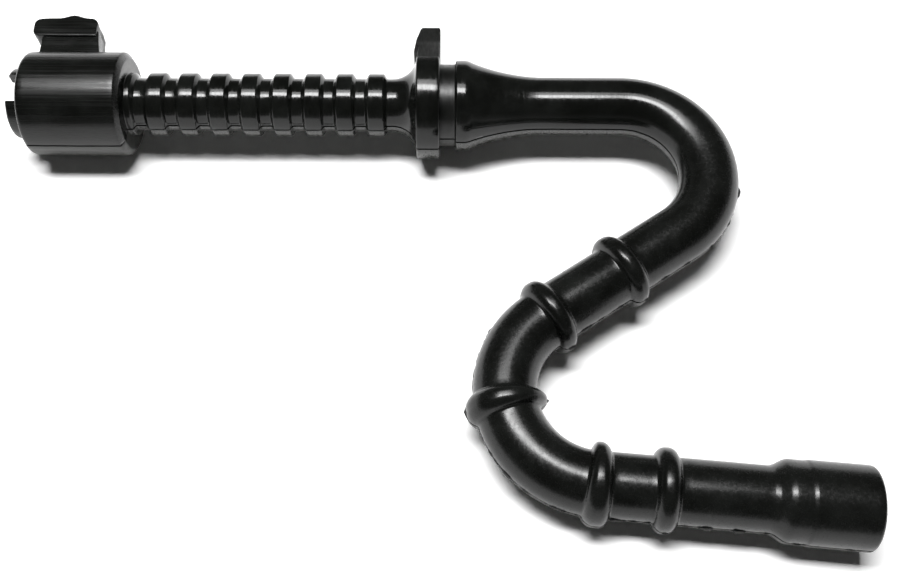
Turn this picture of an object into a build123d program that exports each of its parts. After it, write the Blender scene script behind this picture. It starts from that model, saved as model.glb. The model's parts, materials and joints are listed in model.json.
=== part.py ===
from build123d import *
import os
from math import asin, degrees

os.makedirs("parts", exist_ok=True)

# Moulded rubber fuel hose of a hand-held petrol machine, one piece from end to end.
# X follows the straight inner part, from the filter head through the ribbed neck,
# the tank seal and the first run of tube. The origin is on the hose's axis, halfway
# along the groove that the tank wall fills. Millimetres and degrees.

# tank seal
groove_width = 2.2
groove_radius = 5.75
flange_radius = 7.46
flange_thickness = 3.25
flange_edge = 0.3
flange_cove = 3.4
collar_radius = 6.3
collar_width = 1.65
collar_edge = 0.25
fairing_length = 10.4

# pull tab on the flange
tab_reach = 13.4
tab_tip_radius = 2.3
tab_root = 0.5
tab_root_height = 6.6
tab_taper = 0.5

# ribbed neck
neck_radius = 3.67
rib_radius = 4.37
rib_flat = 2.1
rib_slope = 0.45
rib_pitch = 4.39
rib_count = 9
last_rib_to_flange = 5.65

# filter head, which covers the innermost rib to just past its middle
head_radius = 7.2
head_length = 14.0
head_overlap = 0.32
head_face_drop = 0.87
head_face_slope = 0.6
head_edge = 0.45

# split crown on the head's end
crown_radius = 4.9
crown_length = 2.2
crown_edge = 0.4
crown_slot_width = 4.0
crown_slot_shift = -0.6

# T-shaped lug on the head
lug_reach = 13.75
lug_length = 8.8
lug_overhang = 1.5
lug_bar_width = 3.2
lug_bar_thickness = 4.4
lug_bar_round = 1.0
lug_bar_edge = 0.4
lug_neck_thickness = 1.8
lug_neck_past_bar = 1.4
lug_neck_lean = 0.75

# tube
tube_radius = 4.0
bore_radius = 2.5
first_run = 24.26
first_bend_radius = 11.5
first_bend_angle = 145.6
cross_run = 22.25
second_bend_radius = 11.7
second_bend_angle = 140.7
last_run = 32.15

# beads round the tube, from the end of the first bend on
bead_radius = 1.07
bead_sides = 12
bead_after_first_bend = 9.75
bead_before_second_bend = 0.85
bead_turn = 65.5
bead_after_second_bend = 7.9

# carburettor cuff
cuff_radius = 5.05
cuff_land_radius = 4.95
cuff_land = 2.3
cuff_length = 10.4
cuff_cone = 1.5
cuff_edge = 0.4

# sockets at the two ends of the bore
filter_socket_radius = 3.25
filter_socket_depth = 9.0
cuff_socket_radius = 3.0
cuff_socket_depth = 9.5

# stations along X
flange_outer = -groove_width / 2
flange_inner = flange_outer - flange_thickness
collar_inner = groove_width / 2
collar_outer = collar_inner + collar_width
fairing_end = collar_outer + fairing_length
cove_start = flange_inner - flange_cove
cove_radius = neck_radius + flange_cove
last_rib = flange_inner - last_rib_to_flange
first_rib = last_rib - (rib_count - 1) * rib_pitch
head_face = first_rib + head_overlap
head_end = head_face - head_length
crown_end = head_end - crown_length
lug_end = head_end - lug_overhang
lug_face = lug_end + lug_length
lug_foot = lug_face + lug_neck_past_bar

# heights of the lug's parts above the axis
lug_bar_middle = lug_reach - lug_bar_width / 2
lug_cove = (lug_bar_thickness - lug_neck_thickness) / 2
lug_cove_start = lug_reach - lug_bar_width - lug_cove

# centreline of the tube, from the fairing's end to the cuff's mouth
with BuildLine() as tube_path:
    first_line = Line((fairing_end, 0), (first_run, 0))
    first_bend = JernArc(
        first_line @ 1, first_line % 1, first_bend_radius, -first_bend_angle
    )
    cross_line = Line(first_bend @ 1, first_bend @ 1 + (first_bend % 1) * cross_run)
    second_bend = JernArc(
        cross_line @ 1, cross_line % 1, second_bend_radius, second_bend_angle
    )
    last_line = Line(second_bend @ 1, second_bend @ 1 + (second_bend % 1) * last_run)

# the bore's centreline goes on through the seal, the neck and the head
with BuildLine() as bore_path:
    Line((crown_end, 0), (fairing_end, 0))
    add(tube_path.line)

# the cuff is drawn on its own axes, from the mouth back
mouth_plane = Plane(origin=last_line @ 1, x_dir=last_line % 1, z_dir=(0, 0, 1))
mouth_axis = Axis(last_line @ 1, last_line % 1)

# flange drawn out into the pull tab, whose inner face stands out at the tab's root
# and leans in towards its tip
with BuildPart() as flange:
    with BuildSketch(Plane.YZ.offset(flange_outer)):
        Circle(flange_radius)
        with Locations((tab_reach - tab_tip_radius, 0)):
            Circle(tab_tip_radius)
        make_hull()
    extrude(amount=-flange_thickness - tab_root)
    with BuildSketch():
        with BuildLine():
            Polyline(
                (flange_inner, -flange_radius),
                (flange_inner, tab_root_height),
                (flange_inner - tab_root, tab_root_height + tab_root),
                (flange_inner + tab_taper, tab_reach),
                (flange_inner - flange_thickness, tab_reach),
                (flange_inner - flange_thickness, -flange_radius),
                close=True,
            )
        make_face()
    extrude(amount=flange_radius, both=True, mode=Mode.SUBTRACT)
    flange_rims = flange.edges().filter_by(Axis.X, reverse=True)
    chamfer(flange_rims.filter_by(Axis.Z, reverse=True), flange_edge)

# lug: a bar with rounded ends, overhanging the head's end, on a neck that runs past
# the bar's other end and leans back from its foot to the bar
with BuildPart() as lug:
    with BuildSketch(Plane.XY.offset(-lug_bar_thickness / 2)) as lug_bar:
        with Locations(((lug_end + lug_face) / 2, lug_bar_middle)):
            Rectangle(lug_length, lug_bar_width)
        fillet(lug_bar.vertices(), lug_bar_round)
    extrude(amount=lug_bar_thickness)
    chamfer(lug.edges().filter_by(Axis.Z, reverse=True), lug_bar_edge)
    with BuildSketch(Plane.YZ.offset(head_end)):
        with BuildLine():
            Polyline(
                (0, 0),
                (0, lug_neck_thickness / 2),
                (lug_cove_start, lug_neck_thickness / 2),
            )
            RadiusArc(
                (lug_cove_start, lug_neck_thickness / 2),
                (lug_cove_start + lug_cove, lug_bar_thickness / 2),
                -lug_cove,
            )
            Polyline(
                (lug_cove_start + lug_cove, lug_bar_thickness / 2),
                (lug_bar_middle, lug_bar_thickness / 2),
                (lug_bar_middle, 0),
                (0, 0),
            )
        make_face()
        mirror(about=Plane.XZ)
    extrude(amount=lug_face - head_end)
    with BuildSketch():
        with BuildLine():
            Polyline(
                (head_end, 0),
                (lug_foot, 0),
                (lug_foot, head_radius),
                (lug_foot - lug_neck_lean, lug_bar_middle - lug_bar_width / 4),
                (lug_face - lug_bar_round, lug_bar_middle),
                (head_end, lug_bar_middle),
                close=True,
            )
        make_face()
    extrude(amount=lug_neck_thickness / 2, both=True)

with BuildPart() as moulding:
    # tube with its two bends
    with BuildSketch(Plane.YZ.offset(fairing_end)):
        Circle(tube_radius)
    sweep(path=tube_path.wires()[0])

    # beads, each square to the centreline
    for station in (
        cross_line.location_at(bead_after_first_bend / cross_run),
        cross_line.location_at(1 - bead_before_second_bend / cross_run),
        second_bend.location_at(bead_turn / second_bend_angle),
        last_line.location_at(0),
        last_line.location_at(bead_after_second_bend / last_run),
    ):
        along = Plane(station).z_dir
        bead_plane = Plane(origin=station.position, x_dir=along, z_dir=(0, 0, 1))
        with BuildSketch(bead_plane):
            with Locations((0, tube_radius)):
                RegularPolygon(bead_radius, bead_sides, rotation=180 / bead_sides)
        revolve(axis=Axis(station.position, along))

    # cuff: cone, land and barrel, turned about the last run
    with BuildSketch(mouth_plane):
        Polygon(
            (-cuff_length - cuff_cone, 0),
            (-cuff_length - cuff_cone, tube_radius),
            (-cuff_length, cuff_land_radius),
            (-cuff_length + cuff_land, cuff_land_radius),
            (-cuff_length + cuff_land + cuff_edge, cuff_radius),
            (-cuff_edge, cuff_radius),
            (0, cuff_radius - cuff_edge),
            (0, 0),
            align=None,
        )
    revolve(axis=mouth_axis)

    # turned outline of the head, neck, cove, groove, collar and fairing
    with BuildSketch():
        with BuildLine():
            Polyline(
                (head_end, 0),
                (head_end, head_radius - head_edge),
                (head_end + head_edge, head_radius),
                (head_face - head_face_slope, head_radius),
                (head_face, head_radius - head_face_drop),
                (head_face, neck_radius),
                (cove_start, neck_radius),
            )
            RadiusArc((cove_start, neck_radius), (flange_inner, cove_radius), -flange_cove)
            Polyline(
                (flange_inner, cove_radius),
                (flange_outer, cove_radius),
                (flange_outer, groove_radius),
                (collar_inner, groove_radius),
                (collar_inner, collar_radius - collar_edge),
                (collar_inner + collar_edge, collar_radius),
                (collar_outer, collar_radius),
            )
            TangentArc(
                (fairing_end, tube_radius),
                (collar_outer, collar_radius),
                tangent=(-1, 0),
            )
            Polyline((fairing_end, tube_radius), (fairing_end, 0), (head_end, 0))
        make_face()
        with Locations([(first_rib + rib_pitch * step, 0) for step in range(rib_count)]):
            Polygon(
                (-rib_flat / 2 - rib_slope, 0),
                (-rib_flat / 2 - rib_slope, neck_radius),
                (-rib_flat / 2, rib_radius),
                (rib_flat / 2, rib_radius),
                (rib_flat / 2 + rib_slope, neck_radius),
                (rib_flat / 2 + rib_slope, 0),
                align=None,
            )
    revolve(axis=Axis.X)
    add(flange.part)
    add(lug.part)

    # crown round the mouth of the filter socket, split by a slot
    with BuildSketch():
        Polygon(
            (crown_end, 0),
            (crown_end, crown_radius - crown_edge),
            (crown_end + crown_edge, crown_radius),
            (head_end, crown_radius),
            (head_end, 0),
            align=None,
        )
    revolve(axis=Axis.X)
    with BuildSketch():
        with Locations((crown_end + crown_length / 2, crown_slot_shift)):
            Rectangle(crown_length, crown_slot_width)
    extrude(amount=crown_radius, both=True, mode=Mode.SUBTRACT)

    # bore and its two sockets
    with BuildSketch(Plane.YZ.offset(crown_end)):
        Circle(bore_radius)
    sweep(path=bore_path.wires()[0], mode=Mode.SUBTRACT)
    with BuildSketch(Plane.YZ.offset(crown_end)):
        Circle(filter_socket_radius)
    extrude(amount=filter_socket_depth, mode=Mode.SUBTRACT)
    with BuildSketch(mouth_plane):
        Polygon(
            (-cuff_socket_depth, 0),
            (-cuff_socket_depth, cuff_socket_radius),
            (0, cuff_socket_radius),
            (0, 0),
            align=None,
        )
    revolve(axis=mouth_axis, mode=Mode.SUBTRACT)

# The hose lies on its filter head, its flange and the end of the cuff, so its parting
# plane leans, low on the cuff's side, by the drop from the flange's radius to the
# cuff's over the distance between them.
cuff_reach = -(last_line @ 1).Y
lean = degrees(asin((flange_radius - cuff_radius) / cuff_reach))

with BuildPart() as fuel_hose:
    add(moulding.part, rotation=(lean, 0, 0))

fuel_hose.part.label = "fuel_hose"
export_step(fuel_hose.part, "parts/fuel_hose.step")

tube_length = tube_path.wires()[0].length
print("bend radii", first_bend_radius, second_bend_radius)
print("tube length", round(tube_length, 2), "lean", round(lean, 3))
print("volume", round(fuel_hose.part.volume, 1), "valid", fuel_hose.part.is_valid)
print("solids", len(fuel_hose.part.solids()))
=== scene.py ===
import json
import math

import bmesh
import bpy
from mathutils import Matrix, Vector, noise

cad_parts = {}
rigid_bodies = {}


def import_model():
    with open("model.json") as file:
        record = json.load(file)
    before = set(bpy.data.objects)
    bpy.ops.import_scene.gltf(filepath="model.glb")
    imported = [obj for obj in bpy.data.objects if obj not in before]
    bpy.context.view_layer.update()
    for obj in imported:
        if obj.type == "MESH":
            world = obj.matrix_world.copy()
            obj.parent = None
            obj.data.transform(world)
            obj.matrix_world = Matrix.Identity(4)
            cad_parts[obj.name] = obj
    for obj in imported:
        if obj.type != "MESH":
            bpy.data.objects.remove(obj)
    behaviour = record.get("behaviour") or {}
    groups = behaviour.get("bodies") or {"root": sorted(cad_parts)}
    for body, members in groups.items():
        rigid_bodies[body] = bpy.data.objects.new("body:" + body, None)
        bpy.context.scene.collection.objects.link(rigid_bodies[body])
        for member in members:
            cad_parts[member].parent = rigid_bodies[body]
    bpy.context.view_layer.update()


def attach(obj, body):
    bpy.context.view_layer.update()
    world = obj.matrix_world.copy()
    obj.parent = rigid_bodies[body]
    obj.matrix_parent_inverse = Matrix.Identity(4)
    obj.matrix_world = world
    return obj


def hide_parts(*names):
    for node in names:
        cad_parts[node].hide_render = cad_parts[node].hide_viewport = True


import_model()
print("frame loaded")

# The hose is modelled straight along X in millimetres, bent along its run,
# leaned over onto the floor and only then brought to metres.
toMetres = 0.001
hair = 0.001  # a length in millimetres that counts as none

# how the middle line runs; turns in degrees, to the right is negative
run = {
    "straight": 24.26,
    "firstRadius": 11.5,
    "firstTurn": -145.6,
    "cross": 22.25,
    "secondRadius": 11.7,
    "secondTurn": 140.7,
    "last": 32.15,
    "lean": 2.397,
    "floor": -7.46,
}

# length and turn of each stretch
legs = [
    (run["straight"], 0.0),
    (run["firstRadius"] * math.radians(-run["firstTurn"]), run["firstTurn"]),
    (run["cross"], 0.0),
    (run["secondRadius"] * math.radians(run["secondTurn"]), run["secondTurn"]),
    (run["last"], 0.0),
]
firstBendEnd = legs[0][0] + legs[1][0]
crossEnd = firstBendEnd + legs[2][0]
secondBendEnd = crossEnd + legs[3][0]
mouth = secondBendEnd + legs[4][0]


def leftOf(heading):
    return Vector((-math.sin(heading), math.cos(heading), 0))


def placeOnRun(along):
    # point and heading of the middle line at a distance from the tank groove
    point, heading, left = Vector((0, 0, 0)), 0.0, along
    for length, turn in legs:
        here = min(left, length)
        if turn and here > 0:
            bend = math.radians(turn) * here / length
            radius = length / math.radians(turn)
            centre = point + leftOf(heading) * radius
            point = centre + Matrix.Rotation(bend, 3, "Z") @ (point - centre)
            heading += bend
        else:
            point = point + Vector((math.cos(heading), math.sin(heading), 0)) * here
        left -= here
        if left <= 0:
            break
    return point, heading


def markAlong(bm):
    # each point keeps its distance along the straight run for the material
    along = bm.verts.layers.float.new("along")
    for v in bm.verts:
        v[along] = v.co.x


def bendAlongRun(bm):
    markAlong(bm)
    for v in bm.verts:
        if v.co.x > run["straight"]:
            point, heading = placeOnRun(v.co.x)
            v.co = point + leftOf(heading) * v.co.y + Vector((0, 0, v.co.z))


def meshFrom(bm, name):
    mesh = bpy.data.meshes.new(name)
    bm.to_mesh(mesh)
    bm.free()
    return mesh


def addObject(name, data):
    added = bpy.data.objects.new(name, data)
    bpy.context.scene.collection.objects.link(added)
    return added


def finishPiece(bm, name, sharpFrom=35):
    if "along" not in bm.verts.layers.float:
        markAlong(bm)
    lean = Matrix.Rotation(math.radians(run["lean"]), 3, "X")
    bmesh.ops.rotate(bm, verts=bm.verts, cent=(0, 0, 0), matrix=lean)
    bmesh.ops.scale(bm, verts=bm.verts, vec=(toMetres, toMetres, toMetres))
    mesh = meshFrom(bm, name)
    mesh.shade_smooth()
    mesh.set_sharp_from_angle(angle=math.radians(sharpFrom))
    return addObject(name, mesh)


def vertsIn(geometry):
    return [g for g in geometry if isinstance(g, bmesh.types.BMVert)]


# how finely a corner is rounded, by how far
turning = {
    "wideFrom": 1.0,
    "segments": 4,
    "wideSegments": 14,
}


def turnedBody(corners, steps, longest):
    # a closed outline of (along, radius, how far its corner is rounded), spun round X
    bm = bmesh.new()
    rounded = bm.verts.layers.float.new("rounded")
    ring = []
    for along, radius, rounding in corners:
        v = bm.verts.new((along, radius, 0))
        v[rounded] = rounding
        ring.append(v)
    for a, b in zip(ring, ring[1:] + ring[:1]):
        bm.edges.new((a, b))
    for rounding in sorted({corner[2] for corner in corners if corner[2]}):
        picked = [v for v in bm.verts if math.isclose(v[rounded], rounding, rel_tol=1e-5)]
        wide = rounding > turning["wideFrom"]
        bmesh.ops.bevel(
            bm,
            geom=picked + list({e for v in picked for e in v.link_edges}),
            offset=rounding,
            offset_type="OFFSET",
            affect="VERTICES",
            segments=turning["wideSegments"] if wide else turning["segments"],
            profile=0.5,
            material=-1,
            clamp_overlap=False,
        )
    for edge in list(bm.edges):
        cuts = int(edge.calc_length() / longest)
        if cuts:
            bmesh.ops.subdivide_edges(bm, edges=[edge], cuts=cuts)
    bmesh.ops.spin(
        bm,
        geom=bm.verts[:] + bm.edges[:],
        cent=(0, 0, 0),
        axis=(1, 0, 0),
        angle=math.tau,
        steps=steps,
        use_merge=True,
    )
    bmesh.ops.recalc_face_normals(bm, faces=bm.faces)
    return bm


def cutThrough(bm, point, normal, **more):
    return bmesh.ops.bisect_plane(
        bm,
        geom=bm.verts[:] + bm.edges[:] + bm.faces[:],
        plane_co=point,
        plane_no=normal,
        **more,
    )


# the mould's parting line, a fine groove that wavers along both sides
parting = {
    "halfWidth": 0.16,
    "depth": 0.22,
    "uneven": 0.7,
    "unevenScale": 0.9,
    "waver": 0.06,
    "waverScale": (0.45, 0.1),
    "waverAt": 3,
    "inside": 3.3,  # the bore and the sockets keep no line
}


def cutPartingLine(bm, p):
    for height in (p["halfWidth"], -p["halfWidth"]):
        cutThrough(bm, (0, 0, height), (0, 0, 1))
    for v in bm.verts:
        if abs(v.co.z) > p["halfWidth"] + hair or abs(v.co.y) < p["inside"]:
            continue
        if abs(v.co.z) < hair:
            uneven = noise.noise((v.co.x * p["unevenScale"], v.co.y, 0))
            v.co.y -= math.copysign(p["depth"] * (1 + p["uneven"] * uneven), v.co.y)
        lengthwise, crosswise = p["waverScale"]
        waver = noise.noise((v.co.x * lengthwise, p["waverAt"], v.co.y * crosswise))
        v.co.z += p["waver"] * waver


# the turned body from the filter head to the cuff, with its bore
hose = {
    "headEnd": -58.8,
    "headFace": -44.8,
    "headRadius": 7.2,
    "headSlope": (0.6, 0.87),
    "headRound": 0.6,
    "faceRound": 0.12,
    "crownLength": 2.2,
    "neckRadius": 3.67,
    "ribRadius": 4.37,
    "ribFlat": 2.1,
    "ribSlope": 0.45,
    "ribRound": 0.14,
    "ribRoot": 0.15,
    "firstRib": -45.12,
    "ribPitch": 4.39,
    "ribCount": 9,
    "flangeInner": -4.35,
    "flangeOuter": -1.1,
    "flangeCore": (1.0, 0.5),  # how far the core reaches into the flange from each side
    "cove": 3.4,
    "grooveRadius": 5.75,
    "grooveRound": 0.2,
    "collarInner": 1.1,
    "collarOuter": 2.75,
    "collarRadius": 6.3,
    "collarRound": (0.28, 0.5),
    "fairingWaist": 7.71,
    "fairingRound": 5.4,
    "tubeRadius": 4.0,
    "boreRadius": 2.5,
    "beadRadius": 1.07,
    # half a bead's section in bead radii, and its roundings in millimetres
    "beadShape": [(0.5, 1, 0.32), (1.06, 0.56, 0.28), (1.32, 0, 0.22)],
    "cuffLength": 10.4,
    "cuffCone": 1.5,
    "cuffRound": 0.45,
    "cuffLand": (2.3, 4.95),
    "landStep": 0.35,
    "landRound": 0.12,
    "cuffRadius": 5.05,
    "mouthRound": (0.5, 0.25),
    "filterSocket": (9.0, 3.25),
    "cuffSocket": (9.5, 3.0),
    "around": 72,
    "longest": 0.62,
    "sharpFrom": 40,
}
crownEnd = hose["headEnd"] - hose["crownLength"]
cuffStart = mouth - hose["cuffLength"]

# where the beads sit on the run
beads = {
    "afterFirstBend": 9.75,
    "beforeSecondBend": 0.85,
    "turnedInSecondBend": 65.5,
    "afterSecondBend": 7.9,
}
beadStations = [
    firstBendEnd + beads["afterFirstBend"],
    crossEnd - beads["beforeSecondBend"],
    crossEnd + run["secondRadius"] * math.radians(beads["turnedInSecondBend"]),
    secondBendEnd,
    secondBendEnd + beads["afterSecondBend"],
]


def headAndRibs(h):
    neck, rib = h["neckRadius"], h["ribRadius"]
    slopeLength, slopeDrop = h["headSlope"]
    flat = h["ribFlat"] / 2
    foot = flat + h["ribSlope"]
    outline = [
        (h["headEnd"], h["filterSocket"][1], 0),
        (h["headEnd"], h["headRadius"], h["headRound"]),
        (h["headFace"] - slopeLength, h["headRadius"], h["faceRound"]),
        (h["headFace"], h["headRadius"] - slopeDrop, h["faceRound"]),
        (h["headFace"], rib, h["ribRoot"]),
    ]
    for number in range(h["ribCount"]):
        middle = h["firstRib"] + number * h["ribPitch"]
        if number:  # the head covers the first half of the first rib
            outline += [(middle - foot, neck, h["ribRound"]), (middle - flat, rib, h["ribRound"])]
        outline += [(middle + flat, rib, h["ribRound"]), (middle + foot, neck, h["ribRound"])]
    return outline


def tankSeal(h):
    coreTop = h["neckRadius"] + h["cove"]
    fromInner, fromOuter = h["flangeCore"]
    collarRim, shoulder = h["collarRound"]
    return [
        (h["flangeInner"], h["neckRadius"], h["cove"]),
        (h["flangeInner"], coreTop, 0),
        (h["flangeInner"] + fromInner, coreTop, 0),
        (h["flangeOuter"] - fromOuter, h["grooveRadius"], 0),
        (h["collarInner"], h["grooveRadius"], h["grooveRound"]),
        (h["collarInner"], h["collarRadius"], collarRim),
        (h["collarOuter"], h["collarRadius"], shoulder),
        (h["fairingWaist"], h["tubeRadius"], h["fairingRound"]),
    ]


def tubeBeads(h):
    rising = [(-wide, high, rounding) for wide, high, rounding in reversed(h["beadShape"])]
    return [
        (
            station + wide * h["beadRadius"],
            h["tubeRadius"] + high * h["beadRadius"],
            rounding,
        )
        for station in beadStations
        for wide, high, rounding in rising + h["beadShape"]
    ]


def cuffAndBore(h):
    land, landRadius = h["cuffLand"]
    landEnd = cuffStart + land
    outerMouth, innerMouth = h["mouthRound"]
    cuffDepth, cuffHole = h["cuffSocket"]
    filterDepth, filterHole = h["filterSocket"]
    return [
        (cuffStart - h["cuffCone"], h["tubeRadius"], h["cuffRound"]),
        (cuffStart, landRadius, h["cuffRound"]),
        (landEnd, landRadius, h["landRound"]),
        (landEnd + h["landStep"], h["cuffRadius"], h["landRound"]),
        (mouth, h["cuffRadius"], outerMouth),
        (mouth, cuffHole, innerMouth),
        (mouth - cuffDepth, cuffHole, 0),
        (mouth - cuffDepth, h["boreRadius"], 0),
        (crownEnd + filterDepth, h["boreRadius"], 0),
        (crownEnd + filterDepth, filterHole, 0),
    ]


outline = headAndRibs(hose) + tankSeal(hose) + tubeBeads(hose) + cuffAndBore(hose)
hoseMesh = turnedBody(outline, hose["around"], hose["longest"])
cutPartingLine(hoseMesh, parting)
bendAlongRun(hoseMesh)
hoseBody = finishPiece(hoseMesh, "hoseBody", hose["sharpFrom"])
print("turned body:", len(hoseBody.data.polygons), "faces")


def hardEdges(bm):
    # edges whose two faces stand at more than 60 degrees to each other
    return [e for e in bm.edges if e.calc_face_angle(0) > math.radians(60)]


def roundOff(bm, edges, offset, segments, clamp=True):
    bmesh.ops.bevel(
        bm,
        geom=edges,
        offset=offset,
        affect="EDGES",
        segments=segments,
        profile=0.5,
        material=-1,
        clamp_overlap=clamp,
    )


# the flange of the tank seal, drawn out into its pull tab
seal = {
    "radius": 7.46,
    "tabReach": 13.4,
    "tabTip": 2.3,
    "rootHeight": 6.6,
    "root": 0.5,
    "taper": 0.5,
    "rows": (2, 4),  # extra rows of points over the root
    "edge": 0.3,
    "edgeSegments": 3,
    "rimWithin": 0.2,
    "hole": 5.0,
    "around": 96,
}


def tabOutline(bm, s, inner):
    # two circles of points, the outer one drawn out, and the ring of faces between them
    upright = Matrix.Rotation(math.radians(90), 4, "Y")
    standing = Matrix.Translation((inner, 0, 0)) @ upright
    ring = {"cap_ends": False, "segments": s["around"], "matrix": standing}
    rim = bmesh.ops.create_circle(bm, radius=s["radius"], **ring)["verts"]
    bmesh.ops.create_circle(bm, radius=s["hole"], **ring)
    # the part of the rim that faces the tab moves out round the tab's own centre
    tabCentre = s["tabReach"] - s["tabTip"]
    spread = math.acos((s["radius"] - s["tabTip"]) / tabCentre)
    for v in rim:
        outward = Vector((0, v.co.y, v.co.z)).normalized()
        if math.acos(max(-1, min(1, outward.y))) < spread:
            v.co = Vector((inner, tabCentre, 0)) + outward * s["tabTip"]
    bmesh.ops.bridge_loops(bm, edges=bm.edges[:])
    return s["radius"] * math.cos(spread)  # where the tab leaves the round rim


def tankFlange(s, inner, outer):
    bm = bmesh.new()
    tabFrom = tabOutline(bm, s, inner)
    raised = bmesh.ops.extrude_face_region(bm, geom=bm.faces[:])["geom"]
    bmesh.ops.translate(bm, vec=(outer - inner, 0, 0), verts=vertsIn(raised))
    bmesh.ops.recalc_face_normals(bm, faces=bm.faces)
    rootTop = s["rootHeight"] + s["root"]
    for height in [s["rootHeight"], rootTop] + [rootTop + row for row in s["rows"]]:
        cutThrough(bm, (0, height, 0), (0, 1, 0))
    # the inner face stands out at the tab's root and leans in to its tip
    for v in bm.verts:
        if v.co.x > inner + hair or v.co.y < s["rootHeight"]:
            continue
        if v.co.y < rootTop:
            v.co.x -= v.co.y - s["rootHeight"]
        else:
            upTheTab = (v.co.y - rootTop) / (s["tabReach"] - rootTop)
            v.co.x += (s["root"] + s["taper"]) * upTheTab - s["root"]
    onRim = s["radius"] - s["rimWithin"]
    rimEdges = [e for e in hardEdges(bm) if min(v.co.yz.length for v in e.verts) > onRim]
    roundOff(bm, rimEdges, s["edge"], s["edgeSegments"], clamp=False)
    cutPartingLine(bm, parting)
    # the tab gets the second rubber, which is matt
    for face in bm.faces:
        face.material_index = int(face.calc_center_median().y > tabFrom)
    return bm


flangeMesh = tankFlange(seal, hose["flangeInner"], hose["flangeOuter"])
flange = finishPiece(flangeMesh, "tankFlange")
print("flange and tab")


# the T-shaped lug on the filter head: a bar across a stem that is a little thinner
tee = {
    "barFrom": -60.3,
    "barTo": -51.1,
    "reach": 13.75,
    "barWidth": 3.2,
    "barThickness": 4.4,
    "barEnds": 1.1,
    "barEndSegments": 7,
    "barRim": 0.18,
    "stemFrom": -58.9,
    "stemFoot": -49.9,
    "stemTop": -50.95,
    "stemThickness": 3.7,
    "stemRim": 0.2,
    "stemInBar": 1.2,
    "rimSegments": 3,
    "foot": 5.9,
    "longEdge": 1.5,
    "cuts": 10,
    "rough": 0.07,
    "seed": 3,  # without it noise_vector differs from run to run
    "roughScale": 0.8,
    # the torn rise on the bar's back
    "tornAt": -54.6,
    "tornRise": 0.6,
    "tornSpread": 1.3,
    "tornDepth": 0.9,
}


def slabFrom(corners, thickness):
    # a flat outline in the parting plane, thickened to both sides
    bm = bmesh.new()
    face = bm.faces.new([bm.verts.new((x, y, -thickness / 2)) for x, y in corners])
    raised = bmesh.ops.extrude_face_region(bm, geom=[face], use_keep_orig=True)["geom"]
    bmesh.ops.translate(bm, vec=(0, 0, thickness), verts=vertsIn(raised))
    bmesh.ops.recalc_face_normals(bm, faces=bm.faces)
    return bm


def isUpright(edge):
    start, end = edge.verts
    return abs(end.co.z - start.co.z) > edge.calc_length() / 2


def lugBar(t, under):
    corners = [
        (t["barFrom"], under),
        (t["barTo"], under),
        (t["barTo"], t["reach"]),
        (t["barFrom"], t["reach"]),
    ]
    bar = slabFrom(corners, t["barThickness"])
    # three corners are round, and the fourth runs on into the stem
    stemCorner = Vector((t["barTo"], under))
    ends = [
        e
        for e in bar.edges
        if isUpright(e) and (e.verts[0].co.xy - stemCorner).length > t["barEnds"]
    ]
    roundOff(bar, ends, t["barEnds"], t["barEndSegments"])
    rims = [e for e in hardEdges(bar) if not isUpright(e)]
    roundOff(bar, rims, t["barRim"], t["rimSegments"])
    return bar


def lugStem(t, under):
    corners = [
        (t["stemFrom"], t["foot"]),
        (t["stemFoot"], t["foot"]),
        (t["stemTop"], under + t["stemInBar"]),
        (t["stemFrom"], under + t["stemInBar"]),
    ]
    stem = slabFrom(corners, t["stemThickness"])
    roundOff(stem, hardEdges(stem), t["stemRim"], t["rimSegments"])
    return stem


def headLug(t):
    under = t["reach"] - t["barWidth"]
    both = lugBar(t, under)
    stem = meshFrom(lugStem(t, under), "stem")
    both.from_mesh(stem)
    bpy.data.meshes.remove(stem)
    # the moulding is slightly uneven
    longEdges = [e for e in both.edges if e.calc_length() > t["longEdge"]]
    bmesh.ops.subdivide_edges(both, edges=longEdges, cuts=t["cuts"], use_grid_fill=True)
    noise.seed_set(t["seed"])
    for v in both.verts:
        v.co += t["rough"] * noise.noise_vector(v.co * t["roughScale"])
        if v.co.y > t["reach"] - t["tornDepth"]:
            off = (v.co.x - t["tornAt"]) / t["tornSpread"]
            v.co.y += t["tornRise"] * math.exp(-(off ** 2))
    return both


lug = finishPiece(headLug(tee), "headLug")
print("lug")


# the split crown round the mouth of the filter socket
crown = {
    "foot": -58.7,
    "radius": 4.9,
    "edge": 0.4,
    "holeEdge": 0.15,
    "slotLow": -2.6,
    "slotHigh": 1.4,
    "around": 72,
    "longest": 0.8,
}


def crownHalf(c, height, keepAbove):
    hole = hose["filterSocket"][1]
    corners = [
        (crownEnd, hole, c["holeEdge"]),
        (crownEnd, c["radius"], c["edge"]),
        (c["foot"], c["radius"], 0),
        (c["foot"], hole, 0),
    ]
    bm = turnedBody(corners, c["around"], c["longest"])
    away = (0, -1 if keepAbove else 1, 0)
    cut = cutThrough(bm, (0, height, 0), away, clear_outer=True)["geom_cut"]
    bmesh.ops.holes_fill(bm, edges=[g for g in cut if isinstance(g, bmesh.types.BMEdge)])
    bmesh.ops.recalc_face_normals(bm, faces=bm.faces)
    return bm


crownUpper = finishPiece(crownHalf(crown, crown["slotHigh"], True), "crownUpper")
crownLower = finishPiece(crownHalf(crown, crown["slotLow"], False), "crownLower")
print("crown")


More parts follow.
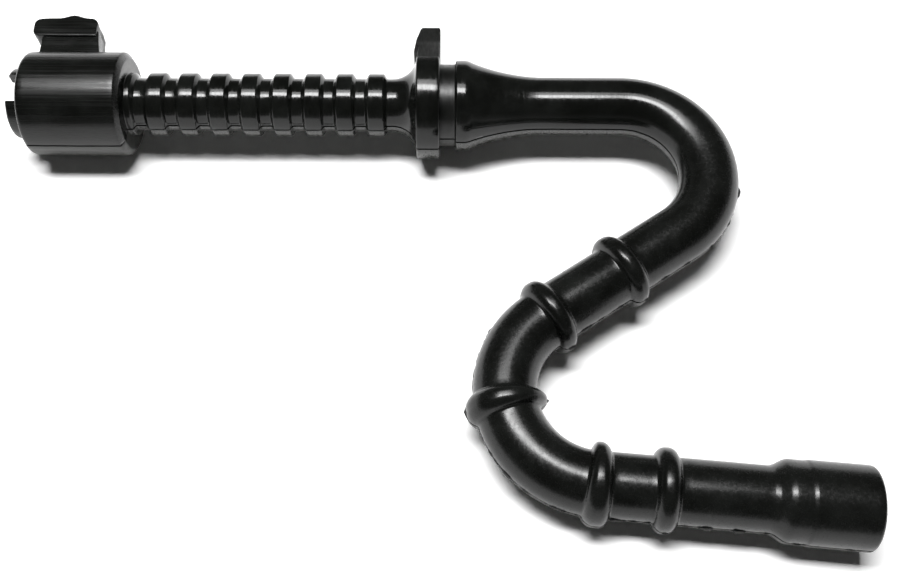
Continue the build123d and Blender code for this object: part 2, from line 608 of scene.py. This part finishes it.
# thin torn flash that the mould left along the parting line and on the beads
bead1, bead2, bead3, bead4, bead5 = beadStations
offBead = 1.2
flash = {
    "thickness": 0.12,
    "step": 0.28,
    "fewest": 4,
    "sunk": 0.15,
    "footShare": 0.6,
    "fadeOver": 0.5,
    "tornAway": 0.5,
    "tearScale": 0.55,
    "sidesApart": 7,
    "frayScale": 2.3,
    "fray": 0.5,
    "growth": 1.6,
    # from, to, side, radius it grows from, height, share of the length that it covers
    "runs": [
        (hose["firstRib"] + 1, -8.5, -1, 4.37, 0.12, 0.5),
        (30.0, firstBendEnd + 4.0, 1, 4.0, 0.5, 0.45),
        (firstBendEnd + 0.5, bead1 - offBead, 1, 4.0, 0.16, 0.9),
        (bead1 + offBead, bead2 - offBead, 1, 4.0, 0.2, 0.9),
        (bead2 + 3.0, bead3 - 1.5, -1, 4.0, 0.16, 0.95),
        (bead3 + offBead, bead4 - offBead, -1, 4.0, 0.2, 0.9),
        (bead4 + offBead, bead5 - offBead, -1, 4.0, 0.28, 0.8),
        (bead5 + offBead, cuffStart - 1.4, -1, 4.0, 0.26, 0.8),
        (cuffStart + 0.2, mouth - 0.6, -1, 4.98, 0.2, 0.8),
        (cuffStart - 1.6, cuffStart + 0.4, 1, 4.3, 0.5, 0.7),
    ],
    # the tips on the beads: which bead, and on which side
    "tips": [
        (bead1, -1),
        (bead1, 1),
        (bead2, -1),
        (bead2, 1),
        (bead3, -1),
        (bead3, 1),
        (bead4, -1),
        (bead5, -1),
        (bead5, 1),
    ],
    "tipRadius": 5.0,
    "tipHeight": 0.275,
    "tipHalf": 0.75,
    "tipCover": 1.1,
}


def flashRun(bm, f, start, end, side, radius, height, cover):
    count = max(f["fewest"], int((end - start) / f["step"]))
    chain = []
    for number in range(count + 1):
        x = start + (end - start) * number / count
        chain.append(bm.verts.new((x, side * (radius - f["sunk"]), 0)))
    edges = [bm.edges.new(pair) for pair in zip(chain, chain[1:])]
    grown = bmesh.ops.extrude_edge_only(bm, edges=edges)["geom"]
    for v in vertsIn(grown):
        fromEnds = min(v.co.x - start, end - v.co.x) / f["fadeOver"]
        tear = noise.noise((v.co.x * f["tearScale"], side * f["sidesApart"], 0))
        fray = noise.noise((v.co.x * f["frayScale"], 1, side))
        ragged = max(0, cover - f["tornAway"] + tear + f["fray"] * fray)
        rise = f["sunk"] * f["footShare"] + height * ragged * f["growth"]
        v.co.y += side * rise * max(0, min(1, fromEnds))


def flashPiece(f):
    bm = bmesh.new()
    for line in f["runs"]:
        flashRun(bm, f, *line)
    for middle, side in f["tips"]:
        start, end = middle - f["tipHalf"], middle + f["tipHalf"]
        flashRun(bm, f, start, end, side, f["tipRadius"], f["tipHeight"], f["tipCover"])
    bmesh.ops.recalc_face_normals(bm, faces=bm.faces)
    bmesh.ops.solidify(bm, geom=bm.faces[:], thickness=f["thickness"])
    # solidify grows to one side, so the sheets go back to the parting plane
    heights = [v.co.z for v in bm.verts]
    middle = (min(heights) + max(heights)) / 2
    bmesh.ops.translate(bm, verts=bm.verts, vec=(0, 0, -middle))
    bmesh.ops.recalc_face_normals(bm, faces=bm.faces)
    bendAlongRun(bm)
    return bm


mouldFlash = finishPiece(flashPiece(flash), "mouldFlash")
print("flash")


def emptyTree(owner):
    owner.use_nodes = True
    owner.node_tree.nodes.clear()
    return owner.node_tree


def feed(tree, socket, value):
    # an output is linked to the socket, a number or a colour is set on it
    if isinstance(value, bpy.types.NodeSocket):
        tree.links.new(value, socket)
    else:
        socket.default_value = value


def mathOf(tree, operation, *values):
    node = tree.nodes.new("ShaderNodeMath")
    node.operation = operation
    for socket, value in zip(node.inputs, values):
        feed(tree, socket, value)
    return node.outputs[0]


def fadeOf(tree, value, low, high, toLow=0.0, toHigh=1.0):
    # goes smoothly from toLow to toHigh while the value goes from low to high
    node = tree.nodes.new("ShaderNodeMapRange")
    node.interpolation_type = "SMOOTHSTEP"
    ends = {"From Min": low, "From Max": high, "To Min": toLow, "To Max": toHigh}
    for end, number in ends.items():
        node.inputs[end].default_value = number
    tree.links.new(value, node.inputs["Value"])
    return node.outputs["Result"]


def blendOf(tree, factor, a, b):
    node = tree.nodes.new("ShaderNodeMix")
    if isinstance(a, tuple) or a.type == "RGBA":
        node.data_type = "RGBA"
    sockets = [socket for socket in node.inputs if socket.enabled]
    for socket, value in zip(sockets, (factor, a, b)):
        feed(tree, socket, value)
    return next(socket for socket in node.outputs if socket.enabled)


def noiseOf(tree, vector, scale, detail, roughness):
    node = tree.nodes.new("ShaderNodeTexNoise")
    node.inputs["Scale"].default_value = scale
    node.inputs["Detail"].default_value = detail
    node.inputs["Roughness"].default_value = roughness
    tree.links.new(vector, node.inputs["Vector"])
    return node.outputs["Fac"]


# black rubber: glossy on the hose, duller on the head, and lighter in patches under the parting
# line, which is painted light from the table below;
# noises are scale, detail and roughness, and marks what they become between two levels
rubber = {
    "black": (0.0034, 0.0037, 0.0032, 1),
    "grey": (0.0085, 0.0092, 0.0084, 1),
    # painted light: the colour that the side under the parting line takes, as if lit from the
    # table below
    "paintedTableLight": (0.042, 0.0435, 0.04, 1),
    "cloud": (210, 5, 0.6),
    "cloudMarks": (0.35, 0.75),
    "patches": (900, 4, 0.6),
    "patchMarks": (0.2, 0.75, 0.55, 1.0),
    "paintedTableLightFrom": (-0.00008, -0.00028),
    "rings": (4200, 3, 0.6),
    "ringsAround": 0.16,
    "grain": (2300, 4, 0.65),
    "scratches": (2900, 3, 0.65),
    "scratchesAlong": 0.02,
    "hoseMarks": (0.3, 0.7),
    "headMarks": (0.35, 0.65),
    "headFade": 0.1,
    "bentFrom": (26.0, 40.0),
    "hoseGloss": (0.08, 0.2),
    "bentGloss": (0.19, 0.29),
    "headGloss": (0.19, 0.34),
    "underSideGloss": 0.2,
    "grooveHalf": 1.1,
    "grooveGloss": 0.2,
    "tabFrom": (0.0072, 0.0088),
    "tabGloss": 0.3,
    "refraction": 1.4,
    "bump": 0.8,
    "bumpHeight": 0.000009,
    "cloudBump": 2.0,
}
# the torn flash is rougher, and its painted table light is only the grey
torn = dict(rubber, hoseGloss=(0.5, 0.6), bentGloss=(0.5, 0.65), paintedTableLight=rubber["grey"])
matt = dict(rubber, refraction=1.17, hoseGloss=(0.42, 0.55))


def toolMarks(tree, r, place, along, onHead, onBends):
    # the mould's tool marks: along the head, round the straight hose, and grain past it
    scratched = tree.nodes.new("ShaderNodeMapping")
    scratched.inputs["Scale"].default_value = (r["scratchesAlong"], 1, 1)
    tree.links.new(place, scratched.inputs["Vector"])
    scratches = noiseOf(tree, scratched.outputs["Vector"], *r["scratches"])
    split = tree.nodes.new("ShaderNodeSeparateXYZ")
    tree.links.new(place, split.inputs[0])
    ringed = tree.nodes.new("ShaderNodeCombineXYZ")
    feed(tree, ringed.inputs["X"], mathOf(tree, "MULTIPLY", along, toMetres))
    for axis in "YZ":
        around = mathOf(tree, "MULTIPLY", split.outputs[axis], r["ringsAround"])
        feed(tree, ringed.inputs[axis], around)
    rings = noiseOf(tree, ringed.outputs[0], *r["rings"])
    grain = noiseOf(tree, place, *r["grain"])
    return blendOf(tree, onHead, blendOf(tree, onBends, rings, grain), scratches)


# painted light: the side under the parting line, which faces the table, is made lighter in
# patches as if lit from the table below
def paintedTableLightOf(tree, r, place):
    # the height over the parting plane, which leans with the hose
    lean = math.radians(run["lean"])
    over = tree.nodes.new("ShaderNodeVectorMath")
    over.operation = "DOT_PRODUCT"
    over.inputs[1].default_value = (0, -math.sin(lean), math.cos(lean))
    tree.links.new(place, over.inputs[0])
    lower = fadeOf(tree, over.outputs["Value"], *r["paintedTableLightFrom"])
    patches = fadeOf(tree, noiseOf(tree, place, *r["patches"]), *r["patchMarks"])
    return mathOf(tree, "MULTIPLY", lower, patches)


def dullOf(tree, r, place, along, onHead, paintedTableLightMask):
    # what is less glossy than the rest: the side under the parting line, where the table light is
    # painted on, the pull tab and the tank groove
    split = tree.nodes.new("ShaderNodeSeparateXYZ")
    tree.links.new(place, split.inputs[0])
    offHead = mathOf(tree, "SUBTRACT", 1.0, onHead)
    onTab = mathOf(tree, "MULTIPLY", fadeOf(tree, split.outputs["Y"], *r["tabFrom"]), offHead)
    inGroove = mathOf(tree, "LESS_THAN", mathOf(tree, "ABSOLUTE", along), r["grooveHalf"])
    dull = mathOf(tree, "MULTIPLY", paintedTableLightMask, r["underSideGloss"])
    dull = mathOf(tree, "MULTIPLY_ADD", onTab, r["tabGloss"], dull)
    return mathOf(tree, "MULTIPLY_ADD", inGroove, r["grooveGloss"], dull)


def rubberMaterial(r, name):
    material = bpy.data.materials.new(name)
    tree = emptyTree(material)
    out = tree.nodes.new("ShaderNodeOutputMaterial")
    shader = tree.nodes.new("ShaderNodeBsdfPrincipled")
    shader.inputs["IOR"].default_value = r["refraction"]
    tree.links.new(shader.outputs["BSDF"], out.inputs["Surface"])

    place = tree.nodes.new("ShaderNodeTexCoord").outputs["Object"]
    alongNode = tree.nodes.new("ShaderNodeAttribute")
    alongNode.attribute_name = "along"
    along = alongNode.outputs["Fac"]
    headFace, fade = hose["headFace"], r["headFade"]
    onHead = fadeOf(tree, along, headFace + fade, headFace - fade)
    onBends = fadeOf(tree, along, *r["bentFrom"])
    marks = toolMarks(tree, r, place, along, onHead, onBends)
    cloud = noiseOf(tree, place, *r["cloud"])
    paintedTableLightMask = paintedTableLightOf(tree, r, place)

    colour = blendOf(tree, fadeOf(tree, cloud, *r["cloudMarks"]), r["black"], r["grey"])
    # the base colour turns lighter under the parting line: painted light from the table
    feed(tree, shader.inputs["Base Color"], blendOf(tree, paintedTableLightMask, colour, r["paintedTableLight"]))

    straightGloss = fadeOf(tree, marks, *r["hoseMarks"], *r["hoseGloss"])
    bentGloss = fadeOf(tree, marks, *r["hoseMarks"], *r["bentGloss"])
    headGloss = fadeOf(tree, marks, *r["headMarks"], *r["headGloss"])
    hoseGloss = blendOf(tree, onBends, straightGloss, bentGloss)
    gloss = blendOf(tree, onHead, hoseGloss, headGloss)
    dull = dullOf(tree, r, place, along, onHead, paintedTableLightMask)
    feed(tree, shader.inputs["Roughness"], mathOf(tree, "ADD", gloss, dull))

    bump = tree.nodes.new("ShaderNodeBump")
    bump.inputs["Strength"].default_value = r["bump"]
    bump.inputs["Distance"].default_value = r["bumpHeight"]
    clouds = mathOf(tree, "MULTIPLY", cloud, r["cloudBump"])
    feed(tree, bump.inputs["Height"], mathOf(tree, "ADD", marks, clouds))
    feed(tree, shader.inputs["Normal"], bump.outputs["Normal"])
    return material


blackRubber = rubberMaterial(rubber, "blackRubber")
mattRubber = rubberMaterial(matt, "mattRubber")
tornRubber = rubberMaterial(torn, "tornRubber")
dressed = [
    (hoseBody, [blackRubber]),
    (flange, [blackRubber, mattRubber]),
    (lug, [blackRubber]),
    (crownUpper, [blackRubber]),
    (crownLower, [blackRubber]),
    (mouldFlash, [tornRubber]),
]
for piece, finishes in dressed:
    for finish in finishes:
        piece.data.materials.append(finish)
    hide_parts("fuel_hose")
    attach(piece, "root")
print("rubber")


# white table, two softboxes overhead and a dim room that is pale where it meets the table;
# lengths in metres
studio = {
    "table": 3.0,
    "tableGap": 0.00002,
    "tableColour": 0.85,
    "tableSeen": 1.15,
    "whiteFrom": (0.13, 0.45),
    "softboxes": {
        "softbox": {
            "at": (-0.05, 0.003, 0.42),
            "size": (0.28, 0.085),
            "tip": -1.5,
            "turn": -4.0,
            "power": 2.3,
        },
        "softboxRim": {
            "at": (-0.045, 0.088, 0.415),
            "size": (0.28, 0.085),
            "tip": -12.0,
            "turn": -4.0,
            "power": 0.55,
        },
    },
    # brightness of the room by height: white at the table's edge, pale over it, then dim
    "skyline": (0.02, 0.06),
    "bandTop": (0.05, 0.35),
    "horizon": 0.2,
    "overhead": 0.02,
}


def tableMaterial(s):
    material = bpy.data.materials.new("tableWhite")
    tree = emptyTree(material)
    out = tree.nodes.new("ShaderNodeOutputMaterial")
    path = tree.nodes.new("ShaderNodeLightPath").outputs
    seen = mathOf(tree, "MAXIMUM", path["Is Camera Ray"], path["Is Glossy Ray"])
    seen = mathOf(tree, "MAXIMUM", seen, path["Is Transmission Ray"])
    plain = (s["tableColour"],) * 3 + (1,)
    bright = (s["tableSeen"],) * 3 + (1,)
    paint = tree.nodes.new("ShaderNodeBsdfDiffuse")
    feed(tree, paint.inputs["Color"], blendOf(tree, seen, plain, bright))
    # far from the hose the table is seen as white, past the softboxes' reach
    away = tree.nodes.new("ShaderNodeVectorMath")
    away.operation = "LENGTH"
    feed(tree, away.inputs[0], tree.nodes.new("ShaderNodeTexCoord").outputs["Object"])
    lift = fadeOf(tree, away.outputs["Value"], *s["whiteFrom"])
    glow = tree.nodes.new("ShaderNodeEmission")
    feed(tree, glow.inputs["Strength"], mathOf(tree, "MULTIPLY", lift, seen))
    both = tree.nodes.new("ShaderNodeAddShader")
    feed(tree, both.inputs[0], paint.outputs[0])
    feed(tree, both.inputs[1], glow.outputs[0])
    feed(tree, out.inputs["Surface"], both.outputs[0])
    return material


def whiteTable(s):
    bm = bmesh.new()
    bmesh.ops.create_grid(bm, x_segments=2, y_segments=2, size=s["table"])
    top = run["floor"] * toMetres - s["tableGap"]
    bmesh.ops.translate(bm, verts=bm.verts, vec=(0, 0, top))
    table = addObject("whiteTable", meshFrom(bm, "whiteTable"))
    table.data.materials.append(tableMaterial(s))


def softboxOverhead(name, shape):
    lamp = bpy.data.lights.new(name, "AREA")
    lamp.shape = "RECTANGLE"
    lamp.size, lamp.size_y = shape["size"]
    lamp.energy = shape["power"]
    box = addObject(name, lamp)
    box.location = shape["at"]
    box.rotation_euler = (math.radians(shape["tip"]), 0, math.radians(shape["turn"]))


def paleRoom(s):
    world = bpy.data.worlds.new("paleRoom")
    bpy.context.scene.world = world
    tree = emptyTree(world)
    out = tree.nodes.new("ShaderNodeOutputWorld")
    sky = tree.nodes.new("ShaderNodeBackground")
    sky.inputs["Color"].default_value = (1, 1, 1, 1)
    feed(tree, out.inputs["Surface"], sky.outputs[0])
    direction = tree.nodes.new("ShaderNodeSeparateXYZ")
    feed(tree, direction.inputs[0], tree.nodes.new("ShaderNodeTexCoord").outputs["Generated"])
    height = direction.outputs["Z"]
    room = fadeOf(tree, height, *s["bandTop"], s["horizon"], s["overhead"])
    skyline = fadeOf(tree, height, *s["skyline"], 1.0, 0.0)
    feed(tree, sky.inputs["Strength"], mathOf(tree, "MAXIMUM", room, skyline))


whiteTable(studio)
for name, shape in studio["softboxes"].items():
    softboxOverhead(name, shape)
paleRoom(studio)
print("table, softboxes and room")


# the photograph's camera, from its fit to the hose's outline; angles in degrees
lens = {
    "place": (0.0005265, -0.093931, 0.116122),
    "down": 60.887,
    "pan": -0.045,
    "roll": 0.243,
    "focal": 41.415,
    "sensor": 36,
    "nearest": 0.005,
}
camera = bpy.data.cameras.new("photoCamera")
camera.sensor_width = lens["sensor"]
camera.lens = lens["focal"]
camera.clip_start = lens["nearest"]
cameraObject = addObject("photoCamera", camera)
cameraObject.location = lens["place"]
cameraObject.rotation_euler = (
    Matrix.Rotation(math.radians(-lens["pan"]), 3, "Z")
    @ Matrix.Rotation(math.radians(90 - lens["down"]), 3, "X")
    @ Matrix.Rotation(math.radians(lens["roll"]), 3, "Z")
).to_euler()
bpy.context.scene.camera = cameraObject
bpy.context.scene.view_settings.view_transform = "Standard"
print("camera")
